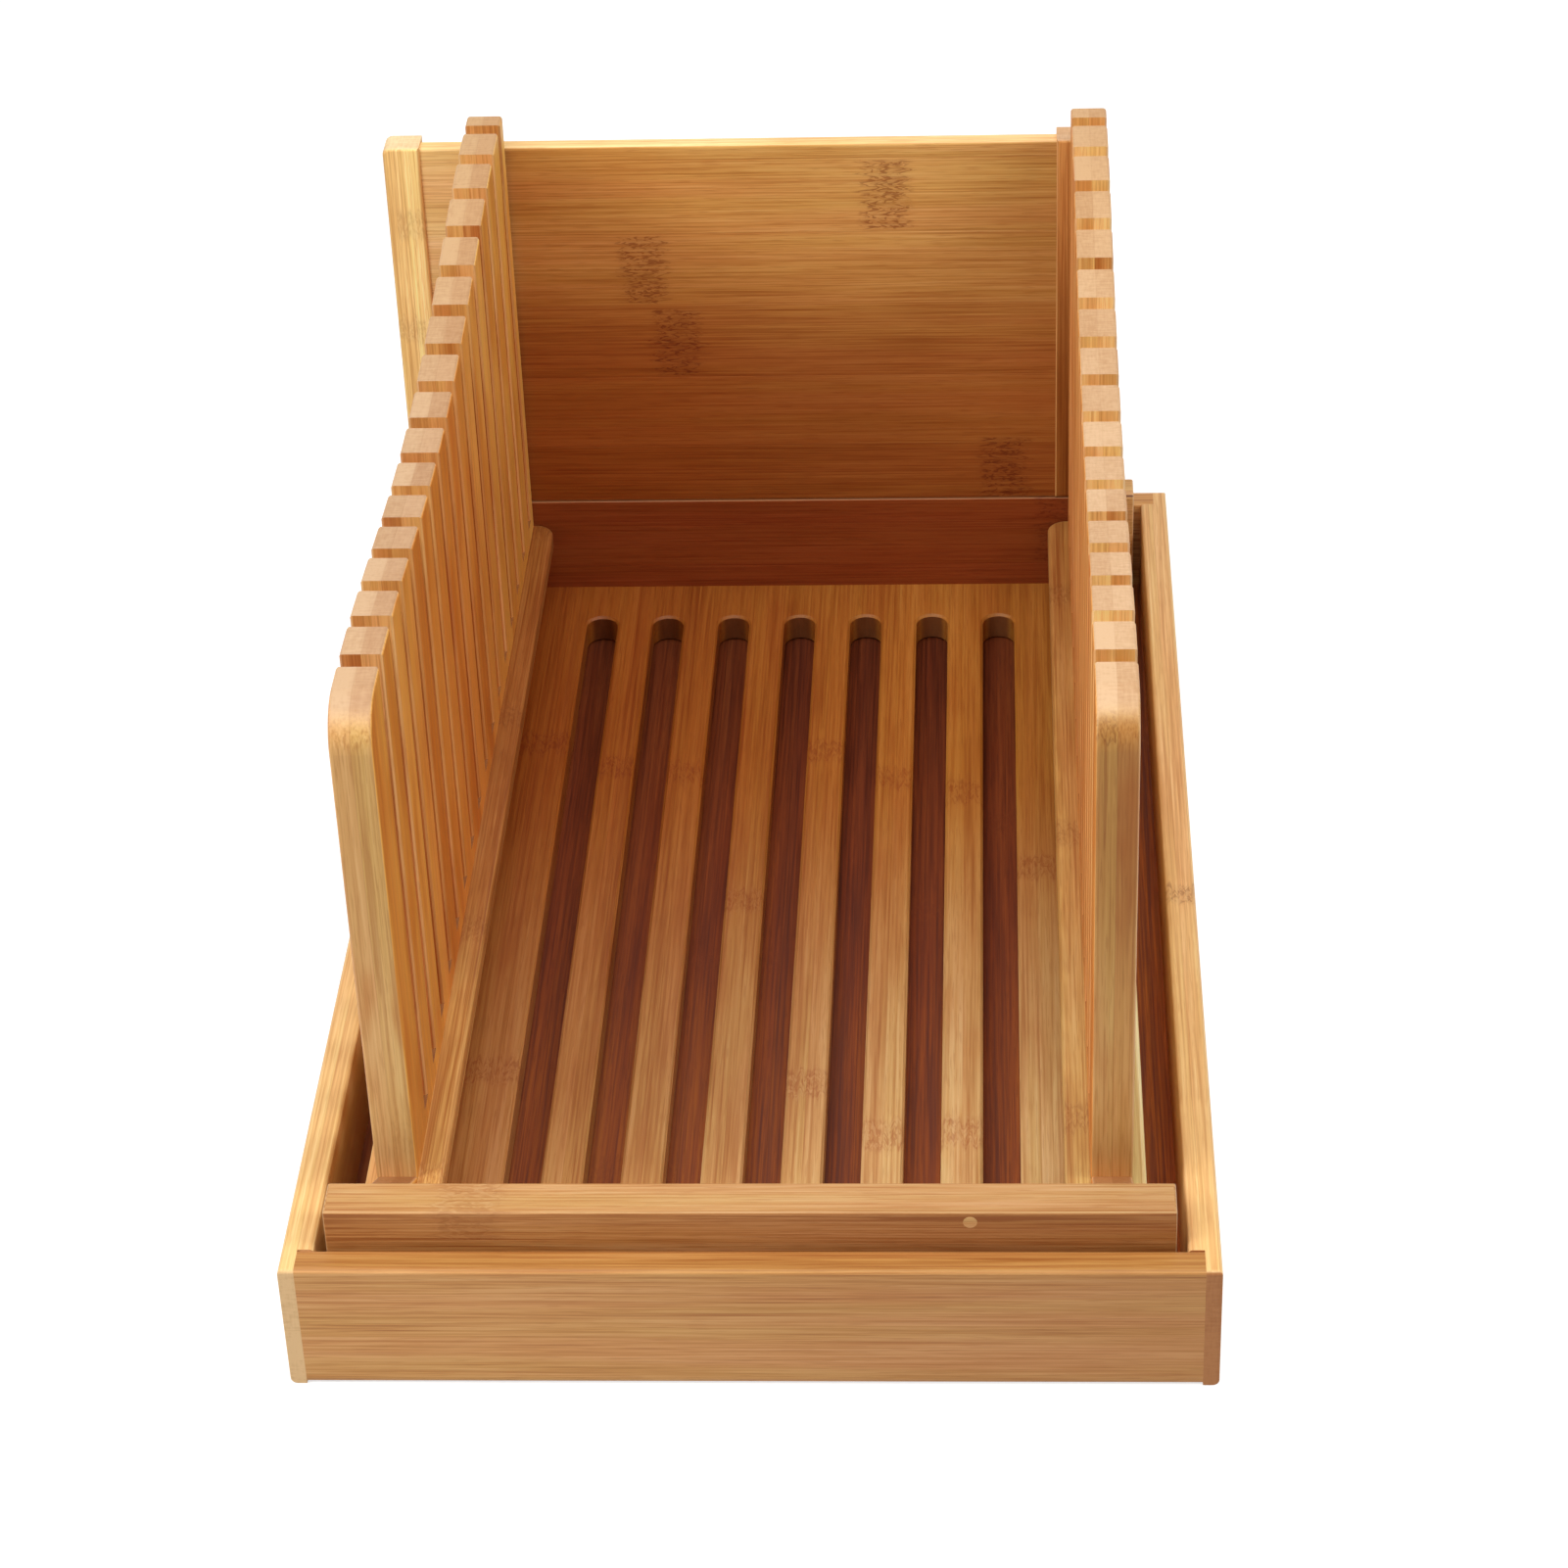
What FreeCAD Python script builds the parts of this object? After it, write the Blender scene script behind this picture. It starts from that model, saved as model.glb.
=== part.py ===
import FreeCAD, Part

import os

# A bamboo bread slicer guide. A shallow crumb tray holds a lift-out frame: a front bar, a rear
# board and a slotted base board. Two toothed guide boards stand in the frame on steel pins and
# fold inwards, one above the other. A back panel stands in a groove in the rear board's top
# and slides sideways.
#
# Millimetres. X runs across the loaf, +Y towards the back panel, +Z up. The origin is the
# centre of the tray's underside.

# --- Crumb tray
tray_width = 200.0
tray_length = 327.0
tray_height = 31.7
tray_wall = 7.0
corner_lap = 3.5            # end boards let into the side walls
floor_thickness = 6.0
floor_let_in = 3.5          # floor let into the walls' lower edges
tray_foot_round = 1.5       # outer lower edges
tray_edge_round = 1.0

# --- Frame
frame_side_gap = 2.35
frame_front_gap = 1.7
frame_rear_gap = 1.2
bar_thickness = 10.0
bar_height = 34.5
bar_edge_round = 0.5

# --- Base board
base_side_inset = 5.65      # from the bar's and the rear board's ends
base_thickness = 7.0
crumb_space = 0.4           # below the base board
base_let_in = 3.0           # into the bar and the rear board
slot_count = 7
slot_width = 8.5
slot_pitch = 17.95
slot_end_margin = 16.0      # from the bar and the rear board to the slots' ends
slot_edge_easing = 0.6

# --- Plug in the front bar
plug_diameter = 3.0
plug_depth = 4.0
plug_x = 47.0
plug_below_top = 2.6

# --- Guide boards
guide_side_inset = 8.75     # outer face, from the bar's and the rear board's ends
guide_thickness = 9.0
guide_end_gap = 0.5         # to the bar and the rear board
toothed_setback = 9.6       # from the bar to the toothed part's front edge
left_pivot_height = 23.8
fold_gap = 0.4              # between the two folded boards
left_below_pivot = 8.5
right_below_pivot = 13.0
ear_below_bar_top = 0.8     # top of the ear in front of the toothed part, at the bar
ear_slope_drop = 5.5        # from there to the toothed part
front_crest_height = 154.0
dip_height = 144.5
rear_crest_height = 155.6
front_crest_from_end = 12.0  # from the toothed part's front edge to where the dip begins
dip_from_rear = 146.0       # from the board's rear edge
rear_crest_from_rear = 14.0
dip_fall_ease = 0.36        # how gently the edge leaves the front crest and enters the dip
dip_rise_ease = 0.48        # how long it stays low behind the dip
crest_rise_ease = 0.3       # how gently it meets the rear crest
front_corner_round = 10.0
rear_corner_round = 1.0
guide_edge_round = 0.8

# --- Kerfs: the knife slots between the teeth
kerf_count = 16
kerf_width = 4.95
kerf_pitch = 16.72
kerf_bottom_height = 38.6
rear_tooth_length = 6.3
kerf_edge_easing = 0.5

# --- Battens along the guide boards' feet
inner_batten_top = 33.8
outer_batten_top = 30.6
batten_thickness = 5.0
inner_batten_width = 5.6
outer_batten_width = 3.2
batten_corner_round = 5.0
outer_corner_round = 2.0
batten_edge_round = 1.0
batten_end_gap = 0.3        # to the stop peg

# --- Pivot pins, and the pegs in the front bar that stop the guides
pin_diameter = 4.0
pin_clearance = 0.05        # radial, in the guide boards
pin_seat_depth = 7.0        # in the bar and the rear board
front_pin_reach = 5.0       # into the guide boards
rear_pin_reach = 8.0
pin_end_gap = 0.3
peg_diameter = 4.0
peg_reach = 3.5
peg_seat_depth = 5.0
peg_above_guide_bottom = 1.5
peg_gap = 0.3

# --- Back panel
panel_width = 184.0
panel_top_height = 146.3
panel_offset = -13.0        # as it stands, from the middle of the frame
panel_front_gap = 0.4       # from the guide boards' rear edges to the battens
panel_batten_width = 9.6
panel_batten_thickness = 8.6
plate_thickness = 4.7
plate_setback = 1.0         # plate's front face behind the battens'
plate_let_in = 4.0          # into the battens
panel_seat_gap = 0.1
panel_corner_round = 2.0
panel_edge_round = 0.9
plate_top_drop = 0.6        # plate's top edge below the battens'
tongue_half_length = 59.0
tongue_depth = 6.0
tongue_setback = 2.2        # tongue's front face behind the plate's
tongue_gap = 0.15           # each side, in the groove
groove_floor_gap = 1.0
panel_travel = 15.0         # each way from the middle
groove_end_gap = 0.3

# --- Places worked out from the sizes above
tray_front = -tray_length / 2
tray_back = tray_length / 2
tray_side = tray_width / 2
inner_side = tray_side - tray_wall
floor_top = floor_thickness
bar_front = tray_front + tray_wall + frame_front_gap
bar_back = bar_front + bar_thickness
board_back = tray_back - tray_wall - frame_rear_gap
board_front = board_back - bar_thickness
frame_side = inner_side - frame_side_gap
frame_top = floor_top + bar_height
base_side = frame_side - base_side_inset
base_bottom = floor_top + crumb_space
base_top = base_bottom + base_thickness
guide_x = frame_side - guide_side_inset - guide_thickness / 2
guide_rear = board_front - guide_end_gap
ear_front = bar_back + guide_end_gap
toothed_front = bar_back + toothed_setback
right_pivot_height = left_pivot_height + guide_thickness + fold_gap
panel_front = guide_rear + panel_front_gap
plate_front = panel_front + plate_setback
plate_back = plate_front + plate_thickness
tongue_front = plate_front + tongue_setback
panel_bottom = frame_top + panel_seat_gap


def point(x, y, z):
    return FreeCAD.Vector(x, y, z)


def block(x_low, x_high, y_low, y_high, z_low, z_high):
    """A rectangular solid between two corners."""
    corner = point(x_low, y_low, z_low)
    return Part.makeBox(x_high - x_low, y_high - y_low, z_high - z_low, corner)


def rod(diameter, start, direction, length):
    """A round solid from a point along a direction."""
    return Part.makeCylinder(diameter / 2, length, start, direction)


def edges_where(solid, test):
    """The edges whose two ends both satisfy the test."""
    return [edge for edge in solid.Edges if all(test(vertex.Point) for vertex in edge.Vertexes)]


def near(a, b):
    return abs(a - b) < 1e-4


def eased(solid, radius):
    """The solid with all its edges rounded."""
    return solid.makeFillet(radius, solid.Edges)


def save(name, shape):
    shape.exportStep(os.path.join("parts", name + ".step"))


def tray_side_wall(side):
    """A full-length side wall, rebated for the end boards and the floor."""
    outer = side * tray_side
    inner = side * inner_side
    wall = block(min(outer, inner), max(outer, inner), tray_front, tray_back, 0, tray_height)
    foot = edges_where(wall, lambda p: near(p.x, outer) and near(p.z, 0))
    wall = wall.makeFillet(tray_foot_round, foot)
    rims = edges_where(wall, lambda p: near(p.z, tray_height))
    wall = wall.makeFillet(tray_edge_round, rims)
    lap = side * (inner_side + corner_lap)
    low, high = sorted((side * (inner_side - 1), lap))
    for start, end in ((tray_front - 1, tray_front + tray_wall), (tray_back - tray_wall, tray_back + 1)):
        wall = wall.cut(block(low, high, start, end, -1, tray_height + 1))
    floor_edge = side * (inner_side + floor_let_in)
    low, high = sorted((side * (inner_side - 1), floor_edge))
    return wall.cut(block(low, high, tray_front - 1, tray_back + 1, -1, floor_top))


def tray_end_board(end):
    """A front or back board, let into the side walls and rebated for the floor."""
    outer = end * tray_back
    inner = end * (tray_back - tray_wall)
    half = inner_side + corner_lap
    board = block(-half, half, min(outer, inner), max(outer, inner), 0, tray_height)
    foot = edges_where(board, lambda p: near(p.y, outer) and near(p.z, 0))
    board = board.makeFillet(tray_foot_round, foot)
    along_rim = [edge for edge in edges_where(board, lambda p: near(p.z, tray_height))
                 if near(edge.Vertexes[0].Y, edge.Vertexes[1].Y)]
    board = board.makeFillet(tray_edge_round, along_rim)
    floor_edge = end * (tray_back - tray_wall + floor_let_in)
    low, high = sorted((end * (tray_back - tray_wall - 1), floor_edge))
    return board.cut(block(-half - 1, half + 1, low, high, -1, floor_top))


def tray_floor():
    half_x = inner_side + floor_let_in
    half_y = tray_back - tray_wall + floor_let_in
    return block(-half_x, half_x, -half_y, half_y, 0, floor_thickness)


def base_outline():
    """The base board before its slots are cut, which is also its housing in the bar and rear board."""
    return block(-base_side, base_side, bar_back - base_let_in, board_front + base_let_in,
                 base_bottom, base_top)


def base_board():
    """The slotted base board."""
    board = base_outline()
    for index in range(slot_count):
        x = (index - (slot_count - 1) / 2) * slot_pitch
        board = board.cut(slot_cutter(x))
    return board


def slot_cutter(x):
    """One round-ended slot, with its upper rim opened out a little."""
    start = bar_back + slot_end_margin
    end = board_front - slot_end_margin
    straight = slot_prism(x, start, end, slot_width / 2, base_bottom - 1, base_thickness + 2)
    low = slot_wire(x, start, end, slot_width / 2, base_top - slot_edge_easing)
    rim = slot_wire(x, start - slot_edge_easing, end + slot_edge_easing,
                    slot_width / 2 + slot_edge_easing, base_top)
    return straight.fuse(Part.makeLoft([low, rim], True, True))


def slot_wire(x, start, end, radius, z):
    """The closed outline of a round-ended slot."""
    a = point(x - radius, start + radius, z)
    b = point(x, start, z)
    c = point(x + radius, start + radius, z)
    d = point(x + radius, end - radius, z)
    e = point(x, end, z)
    f = point(x - radius, end - radius, z)
    return Part.Wire([Part.Arc(a, b, c).toShape(), Part.makeLine(c, d),
                      Part.Arc(d, e, f).toShape(), Part.makeLine(f, a)])


def slot_prism(x, start, end, radius, z, height):
    return Part.Face(slot_wire(x, start, end, radius, z)).extrude(point(0, 0, height))


def blind_hole(x, height, face_y, direction, depth, diameter):
    """The space of a pivot pin's or stop peg's hole, from a face at face_y."""
    return rod(diameter, point(x, face_y, height), point(0, direction, 0), depth)


def pivot_height(side):
    return left_pivot_height if side < 0 else right_pivot_height


def guide_bottom(side):
    below = left_below_pivot if side < 0 else right_below_pivot
    return pivot_height(side) - below


def peg_x(side):
    return side * (guide_x - guide_thickness / 2 - peg_gap - peg_diameter / 2)


def peg_height(side):
    return guide_bottom(side) + peg_above_guide_bottom


def drilled_for_pins(board, face_y, direction):
    """A bar or board with its two pin holes, drilled from the face next to the guides."""
    for side in (-1, 1):
        board = board.cut(blind_hole(side * guide_x, pivot_height(side), face_y, direction,
                                     pin_seat_depth, pin_diameter))
    return board


def plug():
    """A round plug, flush with the bar's front face, and the hole that it fills."""
    start = point(plug_x, bar_front, frame_top - plug_below_top)
    return rod(plug_diameter, start, point(0, 1, 0), plug_depth)


def front_bar():
    bar = block(-frame_side, frame_side, bar_front, bar_back, floor_top, frame_top)
    bar = eased(bar, bar_edge_round)
    bar = drilled_for_pins(bar, bar_back, -1)
    for side in (-1, 1):
        bar = bar.cut(blind_hole(peg_x(side), peg_height(side), bar_back, -1, peg_seat_depth, peg_diameter))
    return bar.cut(base_outline()).cut(plug())


def rear_board():
    board = block(-frame_side, frame_side, board_front, board_back, floor_top, frame_top)
    board = eased(board, bar_edge_round)
    board = drilled_for_pins(board, board_front, 1)
    half_length = tongue_half_length + panel_travel + groove_end_gap
    groove = block(-half_length, half_length, tongue_front - tongue_gap, plate_back + tongue_gap,
                   frame_top - tongue_depth - groove_floor_gap, frame_top + 1)
    return board.cut(base_outline()).cut(groove)


def guide_outline(side):
    """The guide board's face: ear, toothed part and the dipped top edge, in a YZ plane."""
    x = side * guide_x - guide_thickness / 2
    bottom = guide_bottom(side)
    crest_start = toothed_front + front_crest_from_end
    dip = guide_rear - dip_from_rear
    rear_crest = guide_rear - rear_crest_from_rear
    bend = front_corner_round * (1 - 0.5 ** 0.5)
    rear_bend = rear_corner_round * (1 - 0.5 ** 0.5)
    fall = dip - crest_start
    rise = rear_crest - dip

    def at(y, z):
        return point(x, y, z)

    front_arc_low = at(toothed_front, front_crest_height - front_corner_round)
    front_arc_mid = at(toothed_front + bend, front_crest_height - bend)
    front_arc_high = at(toothed_front + front_corner_round, front_crest_height)
    crest = at(crest_start, front_crest_height)
    bottom_of_dip = at(dip, dip_height)
    top_of_rear = at(rear_crest, rear_crest_height)
    rear_arc_high = at(guide_rear - rear_corner_round, rear_crest_height)
    rear_arc_mid = at(guide_rear - rear_bend, rear_crest_height - rear_bend)
    rear_arc_low = at(guide_rear, rear_crest_height - rear_corner_round)
    falling = Part.BezierCurve()
    falling.setPoles([crest, at(crest_start + dip_fall_ease * fall, front_crest_height),
                      at(dip - dip_fall_ease * fall, dip_height), bottom_of_dip])
    rising = Part.BezierCurve()
    rising.setPoles([bottom_of_dip, at(dip + dip_rise_ease * rise, dip_height),
                     at(rear_crest - crest_rise_ease * rise, rear_crest_height), top_of_rear])
    rear_foot = at(guide_rear, bottom)
    ear_foot = at(ear_front, bottom)
    ear_top = at(ear_front, frame_top - ear_below_bar_top)
    ear_root = at(toothed_front, frame_top - ear_below_bar_top - ear_slope_drop)
    return Part.Wire([
        Part.Arc(front_arc_low, front_arc_mid, front_arc_high).toShape(),
        Part.makeLine(front_arc_high, crest),
        falling.toShape(),
        rising.toShape(),
        Part.makeLine(top_of_rear, rear_arc_high),
        Part.Arc(rear_arc_high, rear_arc_mid, rear_arc_low).toShape(),
        Part.makeLine(rear_arc_low, rear_foot),
        Part.makeLine(rear_foot, ear_foot),
        Part.makeLine(ear_foot, ear_top),
        Part.makeLine(ear_top, ear_root),
        Part.makeLine(ear_root, front_arc_low),
    ])


def kerf_cutter(side, index):
    """One knife slot, opened out a little where it meets the board's two faces."""
    back = guide_rear - rear_tooth_length - index * kerf_pitch
    front = back - kerf_width
    half = guide_thickness / 2
    flare = kerf_edge_easing
    beyond = 1.0
    x = side * guide_x
    outline = [
        (x - half - beyond, front - flare - beyond),
        (x - half + flare, front),
        (x + half - flare, front),
        (x + half + beyond, front - flare - beyond),
        (x + half + beyond, back + flare + beyond),
        (x + half - flare, back),
        (x - half + flare, back),
        (x - half - beyond, back + flare + beyond),
    ]
    corners = [point(a, b, kerf_bottom_height) for a, b in outline]
    face = Part.Face(Part.makePolygon(corners + corners[:1]))
    return face.extrude(point(0, 0, rear_crest_height))


def guide_board(side):
    """A toothed guide board with its two pivot bores."""
    board = Part.Face(guide_outline(side)).extrude(point(guide_thickness, 0, 0))
    half = guide_thickness / 2
    faces_x = (side * guide_x - half, side * guide_x + half)
    rims = edges_where(board, lambda p: near(p.x, faces_x[0]))
    rims += edges_where(board, lambda p: near(p.x, faces_x[1]))
    board = board.makeFillet(guide_edge_round, rims)
    for index in range(kerf_count):
        board = board.cut(kerf_cutter(side, index))
    bore = pin_diameter + 2 * pin_clearance
    height = pivot_height(side)
    x = side * guide_x
    board = board.cut(blind_hole(x, height, ear_front, 1, front_pin_reach + pin_end_gap, bore))
    return board.cut(blind_hole(x, height, guide_rear, -1, rear_pin_reach + pin_end_gap, bore))


def foot_batten(face_x, outward, width, top, corner):
    """A thin batten along a guide board's face, its two free corners rounded in plan."""
    start = bar_back + peg_reach + batten_end_gap
    end = guide_rear
    far_x = face_x + outward * width
    solid = block(min(face_x, far_x), max(face_x, far_x), start, end, top - batten_thickness, top)
    corners = [edge for edge in edges_where(solid, lambda p: near(p.x, far_x))
               if near(edge.Vertexes[0].Y, edge.Vertexes[1].Y)]
    solid = solid.makeFillet(corner, corners)
    rims = [edge for edge in solid.Edges
            if not all(near(vertex.X, face_x) for vertex in edge.Vertexes)
            and near(edge.Vertexes[0].Z, edge.Vertexes[1].Z)]
    return solid.makeFillet(batten_edge_round, rims)


def pivot_pin(side, at_front):
    """A steel pin, pressed into the bar or the rear board, on which a guide board turns."""
    reach = front_pin_reach if at_front else rear_pin_reach
    length = pin_seat_depth + guide_end_gap + reach
    y = bar_back - pin_seat_depth if at_front else guide_rear - reach
    return rod(pin_diameter, point(side * guide_x, y, pivot_height(side)), point(0, 1, 0), length)


def stop_peg(side):
    """A short peg in the front bar that keeps a guide board from leaning outwards."""
    start = point(peg_x(side), bar_back - peg_seat_depth, peg_height(side))
    return rod(peg_diameter, start, point(0, 1, 0), peg_seat_depth + peg_reach)


def panel_plate():
    """The thin plate of the back panel, with the thinner tongue along its lower edge."""
    half_width = panel_width / 2 - panel_batten_width + plate_let_in
    plate = block(panel_offset - half_width, panel_offset + half_width, plate_front, plate_back,
                  panel_bottom, panel_top_height - plate_top_drop)
    tops = edges_where(plate, lambda p: near(p.z, panel_top_height - plate_top_drop))
    plate = plate.makeFillet(panel_edge_round, tops)
    tongue = block(panel_offset - tongue_half_length, panel_offset + tongue_half_length,
                   tongue_front, plate_back, frame_top - tongue_depth, panel_bottom)
    return plate.fuse(tongue).removeSplitter()


def panel_batten(side):
    """An upright batten at one edge of the back panel, grooved for the plate."""
    outer = panel_offset + side * panel_width / 2
    inner = outer - side * panel_batten_width
    low, high = sorted((outer, inner))
    batten = block(low, high, panel_front, panel_front + panel_batten_thickness,
                   panel_bottom, panel_top_height)
    corner = edges_where(batten, lambda p: near(p.x, outer) and near(p.z, panel_top_height))
    batten = batten.makeFillet(panel_corner_round, corner)
    rims = [edge for edge in batten.Edges if near(edge.Vertexes[0].Y, edge.Vertexes[1].Y)]
    batten = batten.makeFillet(panel_edge_round, rims)
    low, high = sorted((inner - side, inner + side * plate_let_in))
    groove = block(low, high, plate_front, plate_back, panel_bottom - 1,
                   panel_top_height - plate_top_drop)
    return batten.cut(groove)


def main():
    os.makedirs("parts", exist_ok=True)
    save("tray_left_side", tray_side_wall(-1))
    save("tray_right_side", tray_side_wall(1))
    save("tray_front_board", tray_end_board(-1))
    save("tray_back_board", tray_end_board(1))
    save("tray_floor", tray_floor())
    save("front_bar", front_bar())
    save("rear_board", rear_board())
    save("base_board", base_board())
    save("front_bar_plug", plug())
    for side, name in ((-1, "left"), (1, "right")):
        save(name + "_guide_board", guide_board(side))
        inner_face = side * (guide_x - guide_thickness / 2)
        outer_face = side * (guide_x + guide_thickness / 2)
        save(name + "_inner_batten",
             foot_batten(inner_face, -side, inner_batten_width, inner_batten_top, batten_corner_round))
        save(name + "_outer_batten",
             foot_batten(outer_face, side, outer_batten_width, outer_batten_top, outer_corner_round))
        save(name + "_front_pivot_pin", pivot_pin(side, True))
        save(name + "_rear_pivot_pin", pivot_pin(side, False))
        save(name + "_stop_peg", stop_peg(side))
    save("panel_plate", panel_plate())
    save("panel_left_batten", panel_batten(-1))
    save("panel_right_batten", panel_batten(1))


main()
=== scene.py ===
from math import cos, radians, sin

import bpy
from mathutils import Matrix, Vector

# A bamboo bread slicer guide on a white table. Metres, in the CAD frame: X across the loaf,
# +Y towards the back panel, +Z up, the origin at the centre of the tray's underside.

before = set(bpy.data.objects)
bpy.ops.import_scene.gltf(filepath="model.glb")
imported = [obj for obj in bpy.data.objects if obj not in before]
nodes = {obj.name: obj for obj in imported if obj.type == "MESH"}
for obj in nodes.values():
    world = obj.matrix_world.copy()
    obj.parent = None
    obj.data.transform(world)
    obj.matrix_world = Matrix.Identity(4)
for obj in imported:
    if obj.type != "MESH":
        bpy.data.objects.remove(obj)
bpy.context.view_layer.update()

X, Y, Z = 0, 1, 2
MM = 0.001


class Graph:
    """The nodes of a material or of the world."""

    def __init__(self, owner):
        owner.use_nodes = True
        self.owner = owner
        self.tree = owner.node_tree
        self.tree.nodes.clear()

    def node(self, kind, inputs=(), **settings):
        node = self.tree.nodes.new(kind)
        for key, value in settings.items():
            setattr(node, key, value)
        for key, value in dict(inputs).items():
            if isinstance(value, bpy.types.NodeSocket):
                self.tree.links.new(value, node.inputs[key])
            else:
                node.inputs[key].default_value = value
        return node

    def math(self, operation, *values, clamp=False):
        return self.node("ShaderNodeMath", enumerate(values), operation=operation,
                         use_clamp=clamp).outputs[0]

    def add(self, *values):
        total = values[0]
        for value in values[1:]:
            total = self.math("ADD", total, value)
        return total

    def times(self, a, b):
        return self.math("MULTIPLY", a, b)

    def swing(self, value, amount):
        """amount times what value has above a half."""
        return self.times(self.math("SUBTRACT", value, 0.5), amount)

    def distance(self, value, place):
        return self.math("ABSOLUTE", self.math("SUBTRACT", value, place))

    def smooth(self, value, low, high, at_low=0.0, at_high=1.0):
        return self.node("ShaderNodeMapRange",
                         {"Value": value, "From Min": low, "From Max": high,
                          "To Min": at_low, "To Max": at_high},
                         interpolation_type="SMOOTHSTEP").outputs["Result"]

    def vector(self, x, y, z):
        return self.node("ShaderNodeCombineXYZ", {0: x, 1: y, 2: z}).outputs[0]

    def split(self, vector):
        return self.node("ShaderNodeSeparateXYZ", {0: vector}).outputs

    def noise(self, vector, detail=2.0, distortion=0.0):
        return self.node("ShaderNodeTexNoise",
                         {"Vector": vector, "Scale": 1.0, "Detail": detail,
                          "Distortion": distortion}).outputs["Fac"]

    def mix(self, factor, a, b, blend="MIX"):
        return self.node("ShaderNodeMix", {0: factor, 6: a, 7: b}, data_type="RGBA",
                         blend_type=blend).outputs[2]

    def ramp(self, value, *stops):
        node = self.node("ShaderNodeValToRGB", {0: value})
        elements = node.color_ramp.elements
        while len(elements) < len(stops):
            elements.new(0.5)
        for element, (position, colour) in zip(elements, stops):
            element.position = position
            element.color = colour
        return node.outputs[0]

    def finish(self, shader):
        self.node("ShaderNodeOutputMaterial", {"Surface": shader})
        return self.owner


def linear(red, green, blue):
    """A colour given as 0-255 display values."""
    def channel(value):
        value /= 255
        return value / 12.92 if value <= 0.04045 else ((value + 0.055) / 1.055) ** 2.4
    return (channel(red), channel(green), channel(blue), 1.0)


# --- Bamboo

PALE = linear(240, 196, 140)
MID = linear(222, 170, 108)
DARK = linear(182, 118, 62)
NODE = linear(138, 70, 30)
END_PALE = linear(220, 180, 138)
END_DARK = linear(196, 150, 106)
PINKISH = (1.02, 0.975, 0.99, 1.0)
GOLDEN = (0.99, 1.015, 0.93, 1.0)
BLOTCH = (0.74, 0.50, 0.32, 1.0)

# A face is the axis that it looks along and the sign. With the sign 0, it is both faces.
LEFT, RIGHT, FRONT, BACK, TOP = (X, -1), (X, 1), (Y, -1), (Y, 1), (Z, 1)
ACROSS_Y, ACROSS_Z = (Y, 0), (Z, 0)


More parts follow.
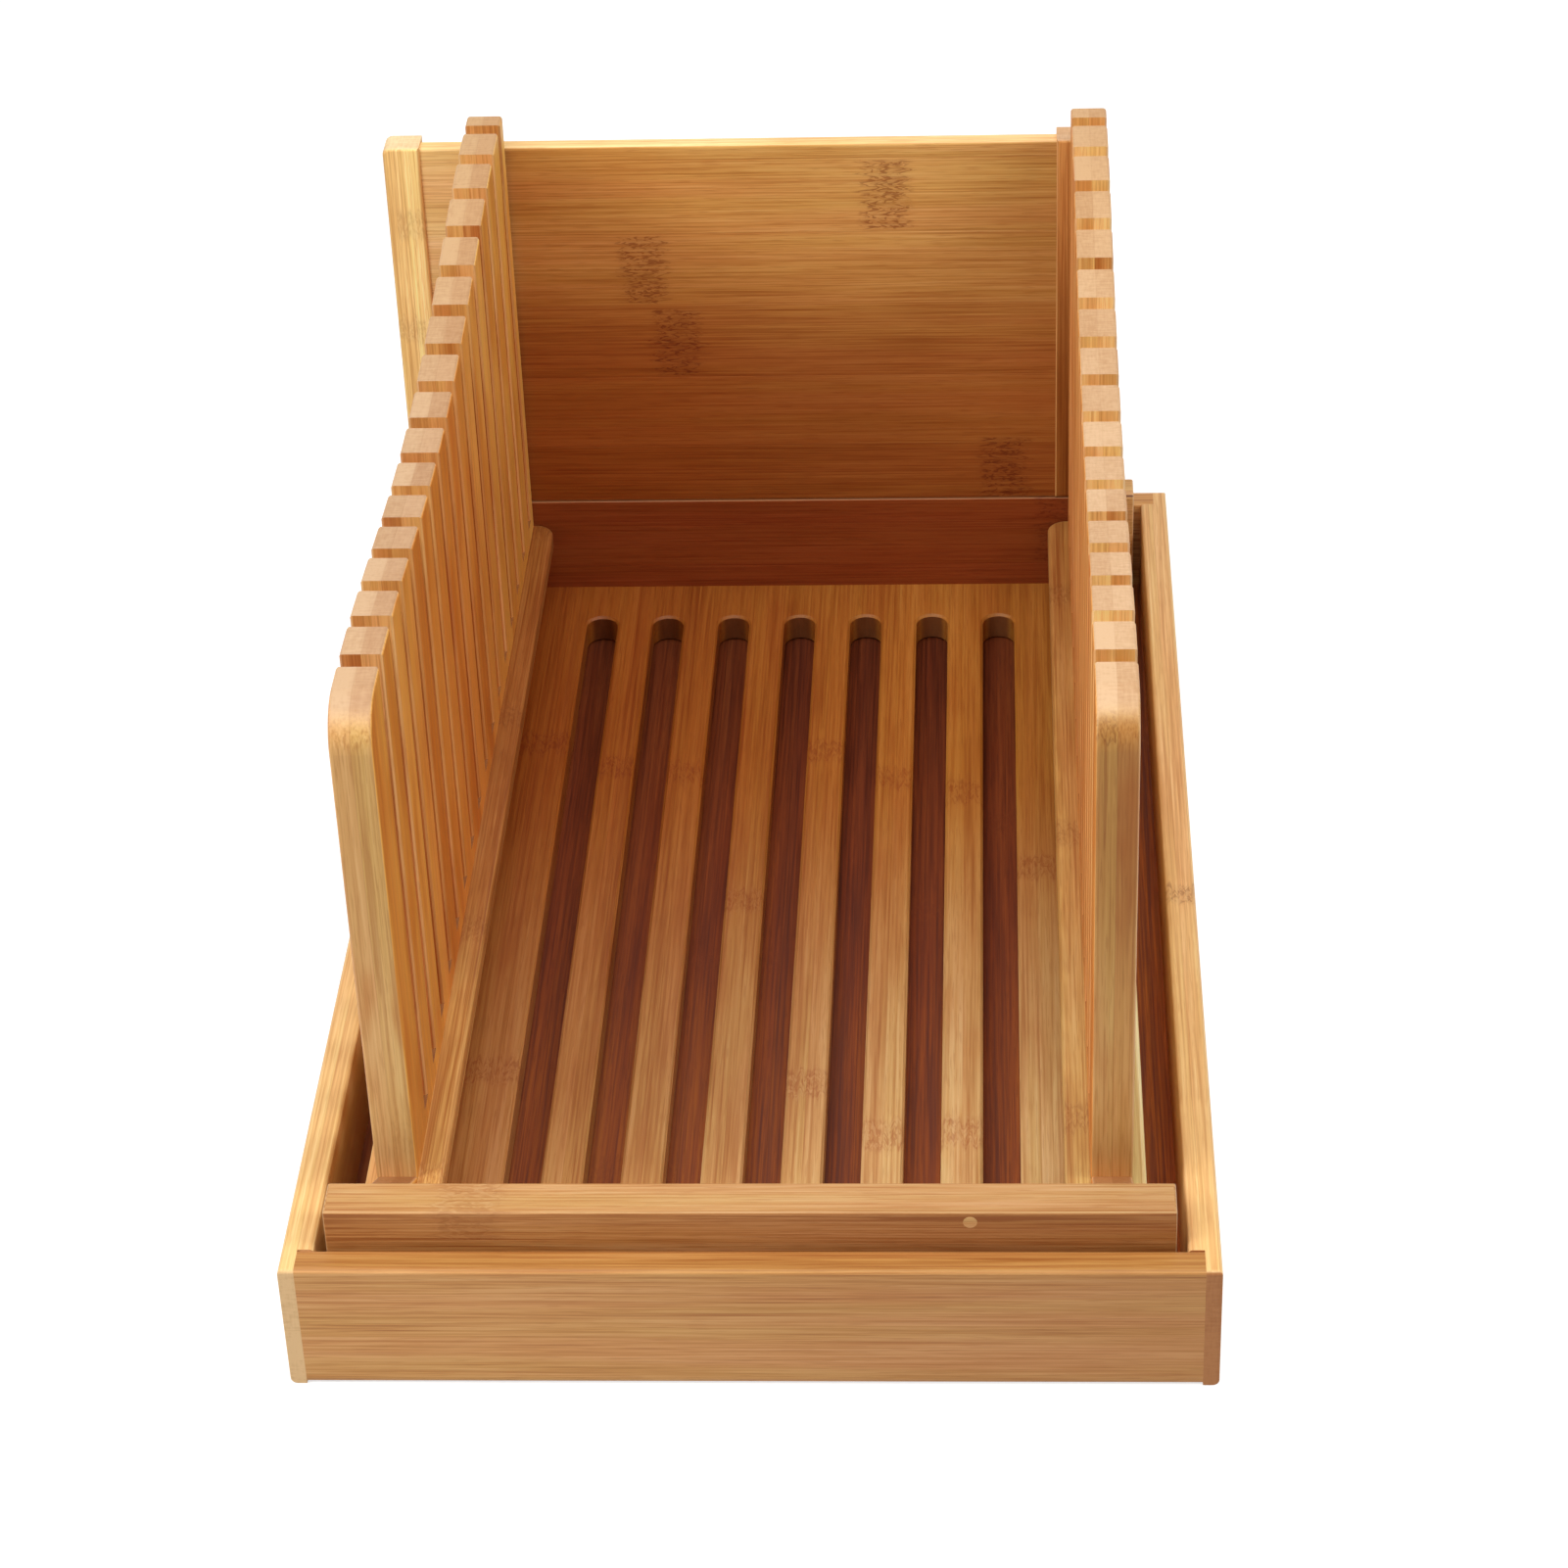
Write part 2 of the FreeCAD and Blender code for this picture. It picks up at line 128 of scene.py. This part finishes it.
def bamboo(name, axes, pale=PALE, mid=MID, dark=DARK, node_colour=NODE, end_pale=END_PALE,
           end_dark=END_DARK, strip=21.1 * MM, strip_start=0.0, first_strip=-1.0,
           ply=4.5 * MM, ply_start=0.0, seed=0.0, strip_contrast=0.30, fibre_contrast=1.3,
           streak_contrast=0.6, cloud_contrast=0.5, vessel_strength=0.35, thread_strength=0.35,
           blotch_strength=0.15, node_gap=0.26, node_strength=0.0, dash_strength=0.3,
           mottle_strength=0.36, marks=(), mark_half=(7 * MM, 10 * MM, 1.0), edge_wear_and_sheen=0.12,
           tint=(1.0, 1.0, 1.0), tints=()):
    """Laminated bamboo.

    axes: the grain's axis, the axis across the strips and the axis through the plies.
    strip, ply: how wide a strip is and how thick a ply is. A joint lies at strip_start and at
    ply_start, but no joint between strips lies before first_strip.
    node_gap: how far apart the nodes of a strip are. marks: the places of single node patches,
    in the order of axes, each mark_half long, wide and deep to either side.
    tint: multiplies the whole colour. tints: (face, colour, (axis, from, to), ...) multiplies
    the colour of one face, or of all with None, more and more along each axis given."""
    pale, mid, dark, end_pale, end_dark = (
        tuple(a * b for a, b in zip(colour, tint + (1.0,)))
        for colour in (pale, mid, dark, end_pale, end_dark))
    node_colour = tuple(a * b ** 0.5 for a, b in zip(node_colour, tint + (1.0,)))
    g = Graph(bpy.data.materials.new(name))
    place = g.node("ShaderNodeTexCoord")
    xyz = g.split(place.outputs["Object"])
    along, across, through = (xyz[axis] for axis in axes)

    strip_place = g.math("DIVIDE", g.math("SUBTRACT", g.math("MAXIMUM", across, first_strip),
                                          strip_start), strip)
    ply_place = g.math("DIVIDE", g.math("SUBTRACT", through, ply_start), ply)
    number = g.vector(g.math("FLOOR", strip_place), g.math("FLOOR", ply_place), seed)
    dice = g.node("ShaderNodeTexWhiteNoise", {"Vector": number}, noise_dimensions="3D")
    chance = g.node("ShaderNodeSeparateColor", {0: dice.outputs["Color"]}).outputs
    shift = g.times(chance[1], 70.0)

    def grain(rate_along, rate_across, detail=2.0, offset=shift):
        """A noise that is drawn out along the grain. The rates are per metre."""
        return g.noise(g.vector(g.math("MULTIPLY_ADD", along, rate_along, offset),
                                g.times(across, rate_across), g.times(through, rate_across)),
                       detail)

    # fibres, streaks and cloudy patches
    fine = grain(26.0, 1900.0)
    hairs = grain(120.0, 2900.0, 1.0)
    streak = grain(5.0, 300.0)
    cloud = grain(12.0, 45.0, offset=seed)
    tone = g.add(0.5, g.swing(dice.outputs["Value"], strip_contrast),
                 g.swing(fine, fibre_contrast), g.swing(streak, streak_contrast),
                 g.swing(cloud, cloud_contrast))
    colour = g.ramp(tone, (0.05, dark), (0.5, mid), (0.95, pale))

    # pinkish and golden streaks
    hue = g.smooth(grain(7.0, 150.0), 0.35, 0.65)
    colour = g.mix(1.0, colour, g.mix(hue, PINKISH, GOLDEN), "MULTIPLY")

    # reddish-brown blotches
    blotch = g.smooth(grain(22.0, 90.0), 0.48, 0.68)
    colour = g.mix(g.times(blotch, blotch_strength), colour, BLOTCH, "MULTIPLY")

    # short dark vessels and long thin threads
    vessels = g.smooth(hairs, 0.54, 0.68)
    colour = g.mix(g.times(vessels, vessel_strength), colour, dark)
    threads = g.smooth(grain(14.0, 1100.0, 1.0), 0.60, 0.70)
    colour = g.mix(g.times(threads, thread_strength), colour, dark)

    # thin glue lines between the strips and the plies
    def line(position, width):
        """1 where the place, counted in strips or plies, is a whole number."""
        return g.smooth(g.distance(g.math("FRACT", position), 0.5), 0.5 - width, 0.5)

    glue = g.math("MAXIMUM", line(strip_place, 0.25 * MM / strip),
                  line(ply_place, 0.2 * MM / ply))
    colour = g.mix(g.times(glue, 0.35), colour, dark)

    # nodes: short ragged dashes along the grain in a patch of broken, mottled fibres
    wobble = g.math("SUBTRACT", grain(60.0, 800.0, 1.0, offset=0.0), 0.5)
    wavy = g.math("MULTIPLY_ADD", wobble, 9 * MM, along)
    turn = g.math("FRACT", g.math("ADD", g.math("DIVIDE", wavy, node_gap), chance[2]))
    reach = g.times(g.distance(turn, 0.5), node_gap)
    halo = g.times(g.smooth(reach, 3 * MM, 7 * MM, 1.0, 0.0), node_strength)
    core = g.times(g.smooth(reach, 1.8 * MM, 2.6 * MM, 1.0, 0.0), node_strength)

    def near(position, at, inner, outer):
        """1 up to inner away from at, and 0 from outer on."""
        return g.smooth(g.distance(position, at), inner, outer, 1.0, 0.0)

    half_along, half_across, half_through = mark_half
    fade = 0.8 * MM
    for at_along, at_across, at_through in marks:
        inside = g.times(near(across, at_across, half_across - fade, half_across),
                         near(through, at_through, half_through - fade, half_through))
        halo = g.math("MAXIMUM", halo, g.times(
            inside, near(wavy, at_along, half_along * 0.5, half_along)))
        core = g.math("MAXIMUM", core, g.times(
            inside, near(wavy, at_along + half_along * 0.2, half_along * 0.28,
                         half_along * 0.42)))
    ladder = grain(150.0, 420.0, 1.0)
    rungs = g.math("SINE", g.add(g.times(across, 5200.0), g.times(through, 5200.0),
                                 g.times(ladder, 9.0)))
    dashes = g.smooth(g.add(rungs, g.times(ladder, 2.4)), 0.9, 1.9)
    mottle = g.noise(g.vector(g.times(wavy, 620.0), g.times(across, 1100.0),
                              g.times(through, 1100.0)), 1.0, 0.8)
    dark_specks = g.smooth(mottle, 0.50, 0.62)
    pale_specks = g.times(g.smooth(mottle, 0.46, 0.36), halo)
    knots = g.math("MAXIMUM", g.times(core, g.times(dashes, dash_strength)),
                   g.times(halo, g.math("MULTIPLY_ADD", dark_specks, mottle_strength, 0.14)),
                   clamp=True)
    colour = g.mix(g.times(pale_specks, 0.25), colour, pale)
    colour = g.mix(knots, colour, node_colour)

    # end grain where the surface faces along the grain
    normal = g.split(place.outputs["Normal"])
    end = g.smooth(g.math("ABSOLUTE", normal[axes[0]]), 0.40, 0.97)
    rows = g.noise(g.vector(seed, g.times(across, 1700.0), g.times(through, 350.0)), 1.0)
    columns = g.noise(g.vector(seed, g.times(across, 350.0), g.times(through, 1700.0)), 1.0)
    end_tone = g.add(0.5, g.swing(chance[1], 0.5), g.swing(rows, 0.65),
                     g.swing(columns, 0.5), g.swing(cloud, 0.4))
    end_colour = g.ramp(end_tone, (0.1, end_dark), (0.7, end_pale))
    end_colour = g.mix(g.times(glue, 0.25), end_colour, end_dark)
    colour = g.mix(end, colour, end_colour)

    # rounded edges are painted a little paler: partly wear, partly a painted highlight
    flatness = g.math("MAXIMUM", g.math("ABSOLUTE", normal[X]),
                      g.math("MAXIMUM", g.math("ABSOLUTE", normal[Y]),
                             g.math("ABSOLUTE", normal[Z])))
    worn_and_sheen = g.smooth(flatness, 0.72, 0.95, edge_wear_and_sheen, 0.0)
    colour = g.mix(worn_and_sheen, colour, pale)

    # the tints of single faces
    for face, face_tint, *spans in tints:
        factor = 1.0
        if face:
            axis, sign = face
            looks = g.times(normal[axis], sign) if sign else g.math("ABSOLUTE", normal[axis])
            factor = g.smooth(looks, 0.6, 0.9)
        for axis, start, stop in spans:
            factor = g.times(factor, g.smooth(xyz[axis], start, stop))
        colour = g.mix(factor, colour, face_tint + (1.0,), "MULTIPLY")

    roughness = g.math("MULTIPLY_ADD", fine, 0.30, 0.36)
    height = g.add(g.times(fine, 0.5), g.times(hairs, 0.3), g.times(knots, -0.3),
                   g.times(glue, -0.3))
    bump = g.node("ShaderNodeBump", {"Strength": 0.35, "Distance": 0.25 * MM, "Height": height})
    shader = g.node("ShaderNodeBsdfPrincipled",
                    {"Base Color": colour, "Roughness": roughness,
                     "Specular IOR Level": 0.35, "Normal": bump.outputs[0]})
    return g.finish(shader.outputs[0])


def steel(name):
    """Turned steel: fine rings across Y, and smudges."""
    g = Graph(bpy.data.materials.new(name))
    place = g.split(g.node("ShaderNodeTexCoord").outputs["Object"])
    rings = g.noise(g.vector(g.times(place[X], 300.0), g.times(place[Y], 5000.0),
                             g.times(place[Z], 300.0)), 2.0)
    smudge = g.noise(g.vector(g.times(place[X], 600.0), g.times(place[Y], 600.0),
                              g.times(place[Z], 600.0)), 3.0)
    colour = g.ramp(g.add(g.times(rings, 0.5), g.times(smudge, 0.5)),
                    (0.3, linear(150, 148, 144)), (0.7, linear(206, 205, 202)))
    roughness = g.smooth(smudge, 0.3, 0.7, 0.24, 0.42)
    bump = g.node("ShaderNodeBump", {"Strength": 0.2, "Distance": 0.05 * MM, "Height": rings})
    shader = g.node("ShaderNodeBsdfPrincipled",
                    {"Base Color": colour, "Metallic": 1.0, "Roughness": roughness,
                     "Normal": bump.outputs[0]})
    return g.finish(shader.outputs[0])


def dress(material, *names):
    """Gives the CAD nodes their material."""
    for name in names:
        mesh = nodes[name].data
        mesh.materials.clear()
        mesh.materials.append(material)


# --- Crumb tray

for side, seed, tint, end_tint in (
        ("left", 1.3, (0.94, 1.02, 0.96), (1.29, 1.22, 1.15)),
        ("right", 1.8, (1.02, 1.07, 1.03), (0.68, 0.42, 0.26))):
    dress(bamboo("tray_%s_side_bamboo" % side, (Y, Z, X), pale=linear(250, 212, 158),
                 mid=linear(238, 188, 128), dark=linear(204, 142, 84), strip=18 * MM,
                 strip_start=-3 * MM, ply=3.5 * MM, ply_start=1.5 * MM, seed=seed,
                 marks=((-27 * MM, 25 * MM, 0.0),), mark_half=(5 * MM, 8 * MM, 1.0),
                 tint=tint, tints=((ACROSS_Y, end_tint),)),
          "tray_%s_side" % side)
# Painted shade: the front board's front and back faces are painted darker towards the right.
dress(bamboo("tray_front_bamboo", (X, Z, Y), strip=34 * MM, strip_start=-1 * MM, seed=2.1,
             fibre_contrast=1.5, streak_contrast=0.4, vessel_strength=0.22,
             thread_strength=0.25, tint=(0.92, 0.81, 0.70),
             tints=((ACROSS_Z, (0.64, 0.58, 0.43)),
                    (ACROSS_Y, (0.82, 0.75, 0.70), (X, -0.07, 0.09)))),
      "tray_front_board")
dress(bamboo("tray_back_bamboo", (X, Z, Y), strip=34 * MM, strip_start=-1 * MM, seed=2.8,
             fibre_contrast=1.5, node_gap=0.5, node_strength=0.8, tint=(0.95, 0.88, 0.80)),
      "tray_back_board")
# The floor is painted darker under the slots and towards the panel: painted shade. It is painted
# lighter in the gutters at the sides: painted light.
dress(bamboo("tray_floor_bamboo", (Y, X, Z), pale=linear(196, 128, 84),
             mid=linear(168, 98, 60), dark=linear(118, 58, 32), strip=20 * MM, seed=3.7,
             fibre_contrast=1.6, streak_contrast=0.7, node_strength=0.8,
             tint=(0.63, 0.44, 0.15),
             tints=((None, (0.75, 0.60, 0.62), (Y, -0.09, -0.01), (X, 0.078, 0.072),
                     (X, -0.078, -0.072)),
                    (None, (0.63, 0.63, 0.60), (Y, 0.02, 0.15)),
                    (None, (2.45, 2.9, 3.5), (X, 0.075, 0.085)),
                    (None, (1.2, 1.4, 2.5), (X, -0.075, -0.085)))),
      "tray_floor")

# --- Frame: bar, rear board and base board

# Painted shade: the bar's front and back faces are painted darker and warmer than its top, and
# the bar darker towards the right, its front and back most.
dress(bamboo("front_bar_bamboo", (X, Z, Y), strip=16 * MM, strip_start=24.5 * MM, seed=4.2,
             fibre_contrast=1.8, thread_strength=0.8, dash_strength=0.2, mottle_strength=0.16,
             marks=((-60 * MM, 37.5 * MM, 0.0),), mark_half=(9 * MM, 5 * MM, 1.0),
             tint=(0.82, 0.87, 0.88),
             tints=((ACROSS_Y, (0.91, 0.69, 0.52)),
                    (None, (0.92, 0.92, 0.97), (X, -0.06, 0.06)),
                    (ACROSS_Y, (0.86, 0.75, 0.65), (X, 0.0, 0.07)))),
      "front_bar")
# Painted shade: the rear board's front, all but its right end, is painted a dark red-brown, and
# its top lip in front of the panel dark.
dress(bamboo("rear_board_bamboo", (X, Z, Y), strip=21 * MM, strip_start=-1 * MM, seed=5.6,
             marks=((69 * MM, 30.7 * MM, 0.0),), mark_half=(6 * MM, 10.5 * MM, 1.0),
             tints=((FRONT, (0.40, 0.16, 0.08), (X, 0.0815, 0.0805)),
                    (TOP, (0.25, 0.15, 0.10), (Y, 0.1466, 0.1462)))),
      "rear_board")
# The base board's ribs lie between its slots, half a pitch from the middle and so on. Each has
# its node patches at these places along Y, in millimetres, and so have the board's wider sides.
SLOT_PITCH = 17.95 * MM
LEFT_SIDE, RIGHT_SIDE = -65.5 * MM, 63.5 * MM
base_nodes = ((LEFT_SIDE, (67.5, -71)),
              (-2.5 * SLOT_PITCH, (55.5,)),
              (-1.5 * SLOT_PITCH, (53,)),
              (-0.5 * SLOT_PITCH, (-3.5,)),
              (0.5 * SLOT_PITCH, (62.5, -76)),
              (1.5 * SLOT_PITCH, (50.5, -95.5)),
              (2.5 * SLOT_PITCH, (43, -94.5)),
              (RIGHT_SIDE, (10,)))
# Painted shade: the base is painted darker and redder towards the panel and towards the left. Its
# faces across Y, the slots' end walls among them, are darker: partly the end grain's own colour,
# partly painted shade.
dress(bamboo("base_bamboo", (Y, X, Z), strip=SLOT_PITCH, strip_start=SLOT_PITCH / 2, ply=7.2 * MM,
             ply_start=6.3 * MM, seed=6.4, fibre_contrast=1.4, blotch_strength=0.35,
             node_colour=linear(150, 60, 18), dash_strength=0.12, mottle_strength=0.30,
             marks=[(y * MM, x, 0.0) for x, places in base_nodes for y in places],
             mark_half=(6.5 * MM, 9 * MM, 1.0), tint=(0.91, 1.09, 1.20),
             tints=((ACROSS_Y, (0.5, 0.40, 0.58)),
                    (None, (0.64, 0.37, 0.12), (Y, -0.13, 0.06)),
                    (None, (0.74, 0.50, 0.33), (X, 0.05, -0.08)))),
      "base_board")
dress(bamboo("plug_bamboo", (X, Z, Y), strip=2 * MM, ply=2 * MM, seed=7.5), "front_bar_plug")

# --- Guide boards and their battens

# Painted shade and painted bounce light: the inner faces are painted warmer, and low down,
# between the teeth and in the kerfs, darker and warmer still, as where only bamboo throws
# light on bamboo. The left guide's inner face is painted lighter towards its front and back
# ends, and the right guide's kerf walls paler: painted light. The front face and the kerfs'
# walls look the same way, and lie either side of this.
KERFS = (Y, -0.132, -0.130)
# Painted shade on the kerfs' floors, low between the teeth.
KERF_FLOOR_SHADE = (ACROSS_Z, (0.60, 0.40, 0.24), (Z, 0.06, 0.05))
LEFT_GUIDE_TINTS = (
    (RIGHT, (1.14, 0.87, 0.41)),
    (RIGHT, (1.20, 1.75, 2.20), (Y, 0.0, 0.12)),
    (RIGHT, (1.15, 1.45, 1.75), (Y, -0.05, -0.11)),
    (RIGHT, (0.80, 0.70, 0.60), (Y, -0.02, 0.06), (Z, 0.11, 0.07)),
    (ACROSS_Y, (1.08, 1.15, 1.15)),
    (ACROSS_Y, (0.88, 0.83, 0.73), (Z, 0.07, 0.12)),
    (ACROSS_Y, (1.10, 0.95, 0.80), KERFS),
    (ACROSS_Y, (0.80, 0.56, 0.44), KERFS, (Z, 0.145, 0.105)),
    (ACROSS_Z, (0.80, 0.80, 0.80)),
    (ACROSS_Z, (1.0, 0.95, 0.82), (Y, -0.02, 0.12)),
    (ACROSS_Z, (0.92, 0.86, 0.82), (X, -0.0785, -0.0765)),
    KERF_FLOOR_SHADE)
RIGHT_GUIDE_TINTS = (
    (LEFT, (1.15, 0.90, 0.52)),
    (ACROSS_Y, (0.92, 0.88, 0.71)),
    (ACROSS_Y, (0.70, 0.58, 0.42), (Z, 0.055, 0.12)),
    (ACROSS_Y, (2.05, 2.8, 4.3), KERFS),
    (ACROSS_Y, (0.70, 0.52, 0.40), KERFS, (Z, 0.145, 0.105)),
    (ACROSS_Z, (0.91, 0.92, 0.93)),
    (ACROSS_Z, (0.93, 0.87, 0.76), (Y, 0.0, 0.12)),
    KERF_FLOOR_SHADE)
for side, ply_start, seed, face_tints, marks in (
        ("left", -81.9 * MM, 8.3, LEFT_GUIDE_TINTS, ()),
        ("right", 72.9 * MM, 9.9, RIGHT_GUIDE_TINTS, ((149 * MM, -132 * MM, 75 * MM),))):
    dress(bamboo(side + "_guide_bamboo", (Z, Y, X), strip=16.72 * MM, strip_start=2.3 * MM,
                 first_strip=-125 * MM, ply_start=ply_start, seed=seed, strip_contrast=0.5,
                 fibre_contrast=1.0, streak_contrast=0.3, thread_strength=0.5,
                 blotch_strength=0.8, node_strength=0.25, marks=marks,
                 mark_half=(3 * MM, 10 * MM, 2.6 * MM), tints=face_tints),
          side + "_guide_board")
# Painted shade and painted light: the inner battens, low in the corner between guide and base,
# are painted darker towards the back and paler towards the front, and the right outer batten is
# painted paler.
for part, seed, tint, gap, face_tints in (
        ("left_inner", 10.6, (0.56, 0.41, 0.26), 0.092,
         ((None, (0.80, 0.70, 0.58), (Y, -0.01, 0.03)),
          (None, (1.70, 2.35, 3.2), (Y, -0.02, -0.09)))),
        ("right_inner", 10.9, (0.75, 0.71, 0.53), 0.11,
         ((None, (0.76, 0.69, 0.62), (Y, 0.02, 0.10)),
          (None, (1.0, 1.15, 1.35), (Y, -0.02, -0.08)))),
        ("left_outer", 10.2, (1.1, 1.15, 1.1), 0.3, ()),
        ("right_outer", 10.4, (1.12, 1.65, 1.9), 0.3, ())):
    dress(bamboo(part + "_batten_bamboo", (Y, X, Z), strip=30 * MM, ply=5.1 * MM, seed=seed,
                 fibre_contrast=1.6, node_gap=gap, node_strength=0.8, tint=tint,
                 tints=face_tints),
          part + "_batten")

# --- Back panel, painted darker towards its foot and towards the left guide: painted shade

# Painted shade: darker and warmer low down on the panel's front faces.
PANEL_DEPTH_SHADE = (0.61, 0.43, 0.27)
# Painted light and painted shade: the plate's front is painted paler left of the left guide, and
# between the guides darker, most of all low down and towards the left, and a little darker at the
# right.
dress(bamboo("panel_bamboo", (X, Z, Y), strip=21.1 * MM, strip_start=15.0 * MM, seed=11.8,
             ply=6 * MM, ply_start=145.5 * MM, strip_contrast=0.22, fibre_contrast=1.25,
             streak_contrast=0.25, cloud_contrast=0.4, thread_strength=0.25,
             node_colour=linear(128, 46, 14), mottle_strength=0.45,
             marks=((25 * MM, 131 * MM, 0.0), (-39 * MM, 110 * MM, 0.0),
                    (-31 * MM, 88.5 * MM, 0.0), (55.6 * MM, 49 * MM, 0.0)),
             mark_half=(8 * MM, 10.2 * MM, 1.0), tint=(1.25, 1.4, 1.5),
             tints=((BACK, (1.0, 0.90, 0.84)),
                    (FRONT, (1.05, 1.32, 1.65)),
                    (FRONT, PANEL_DEPTH_SHADE, (Z, 0.142, 0.066)),
                    (FRONT, (0.73, 0.53, 0.31), (X, -0.090, -0.068)),
                    (FRONT, (0.95, 0.82, 0.70), (X, 0.06, -0.05)),
                    (FRONT, (0.95, 0.86, 0.76), (X, 0.0, -0.04), (Z, 0.115, 0.09)),
                    (FRONT, (0.93, 0.81, 0.81), (Z, 0.105, 0.075)),
                    (FRONT, (0.92, 0.85, 0.77), (X, -0.02, -0.05), (Z, 0.115, 0.135)),
                    (FRONT, (0.95, 0.94, 0.93), (X, 0.03, 0.065)),
                    (FRONT, (0.86, 0.83, 0.77), (X, 0.03, 0.065), (Z, 0.09, 0.125)))),
      "panel_plate")
# Painted shade: the right batten's front is painted darker and warmer low down.
dress(bamboo("panel_right_batten_bamboo", (Z, X, Y), strip=20 * MM, seed=12.9,
             tints=((FRONT, (0.98, 0.90, 0.66)), (FRONT, PANEL_DEPTH_SHADE, (Z, 0.140, 0.066)),
                    (FRONT, (0.70, 0.66, 0.60), (Z, 0.130, 0.080)))),
      "panel_right_batten")
# Painted light: the left batten, outside the left guide, is painted paler, most of all on its
# front.
dress(bamboo("panel_left_batten_bamboo", (Z, X, Y), strip=20 * MM, seed=12.4,
             dash_strength=0.12, mottle_strength=0.12,
             marks=((124 * MM, -98 * MM, 0.0), (93.5 * MM, -102 * MM, 0.0)),
             mark_half=(5 * MM, 5 * MM, 1.0), tint=(1.25, 1.45, 1.45),
             tints=((FRONT, (1.08, 1.18, 1.18)),)),
      "panel_left_batten")

# --- Hidden pegs and pins

dress(bamboo("peg_bamboo", (Y, X, Z), strip=1.5 * MM, ply=1.5 * MM, seed=13.1),
      "left_stop_peg", "right_stop_peg")
dress(steel("pin_steel_finish"), "left_front_pivot_pin", "left_rear_pivot_pin",
      "right_front_pivot_pin", "right_rear_pivot_pin")


# --- Floor, light and camera

def floor():
    """A white table just below the tray. It keeps the object's shadow."""
    half = 4.0
    mesh = bpy.data.meshes.new("table_top")
    mesh.from_pydata([(-half, -half, 0), (half, -half, 0), (half, half, 0), (-half, half, 0)],
                     [], [(0, 1, 2, 3)])
    top = bpy.data.objects.new("table_top", mesh)
    bpy.context.scene.collection.objects.link(top)
    top.location.z = -0.2 * MM
    g = Graph(bpy.data.materials.new("table_white"))
    seen = seen_ray(g)
    diffuse = g.node("ShaderNodeBsdfDiffuse", {"Color": (0.5, 0.5, 0.5, 1.0)}).outputs[0]
    glow = g.node("ShaderNodeEmission", {"Strength": g.times(seen, 0.7)}).outputs[0]
    both = g.node("ShaderNodeAddShader", {0: diffuse, 1: glow}).outputs[0]
    mesh.materials.append(g.finish(both))


def seen_ray(g):
    """1 for what the camera sees, straight or in a gloss, and 0 for what lights the object."""
    path = g.node("ShaderNodeLightPath").outputs
    rays = g.add(path["Is Camera Ray"], path["Is Glossy Ray"], path["Is Transmission Ray"])
    return g.math("MINIMUM", rays, 1.0)


def sky(strength):
    """A white background, and even light of the given strength."""
    world = bpy.data.worlds.new("studio")
    bpy.context.scene.world = world
    g = Graph(world)
    level = g.smooth(seen_ray(g), 0.0, 1.0, strength, 1.0)
    light = g.node("ShaderNodeBackground", {"Color": (1, 1, 1, 1), "Strength": level})
    g.node("ShaderNodeOutputWorld", {"Surface": light.outputs[0]})


def lamp(name, place, aim, size, power):
    """A white round lamp. size in metres, power in watts."""
    light = bpy.data.lights.new(name, "AREA")
    light.shape = "DISK"
    light.size = size
    light.energy = power
    holder = bpy.data.objects.new(name, light)
    bpy.context.scene.collection.objects.link(holder)
    holder.location = place
    holder.rotation_euler = (Vector(aim) - Vector(place)).to_track_quat("-Z", "Y").to_euler()


def camera():
    """The photograph's viewpoint, fitted to the corners of the boards in it."""
    yaw, pitch, roll = radians(-3.547), radians(33.949), radians(-2.274)
    ahead = Vector((sin(yaw) * cos(pitch), cos(yaw) * cos(pitch), -sin(pitch)))
    level_right = Vector((cos(yaw), -sin(yaw), 0.0))
    level_up = level_right.cross(ahead)
    right = cos(roll) * level_right + sin(roll) * level_up
    up = cos(roll) * level_up - sin(roll) * level_right
    data = bpy.data.cameras.new("camera")
    data.sensor_width = 36.0
    data.lens = 94.38
    holder = bpy.data.objects.new("camera", data)
    bpy.context.scene.collection.objects.link(holder)
    turn = Matrix((right, up, -ahead)).transposed().to_4x4()
    holder.matrix_world = Matrix.Translation((0.052786, -0.823307, 0.600721)) @ turn
    bpy.context.scene.camera = holder


floor()
sky(0.16)
MIDDLE = (0, 0, 0.06)
lamp("key", (-0.15, -0.25, 1.1), MIDDLE, 1.2, 10.0)
lamp("left", (-0.9, -0.7, 0.9), MIDDLE, 0.6, 4.8)
lamp("right", (0.95, -0.2, 1.05), MIDDLE, 0.6, 8.0)
lamp("near_left", (-0.55, -0.35, 0.45), (-0.10, 0.15, 0.10), 0.2, 0.8)
camera()
bpy.context.scene.view_settings.view_transform = "Standard"
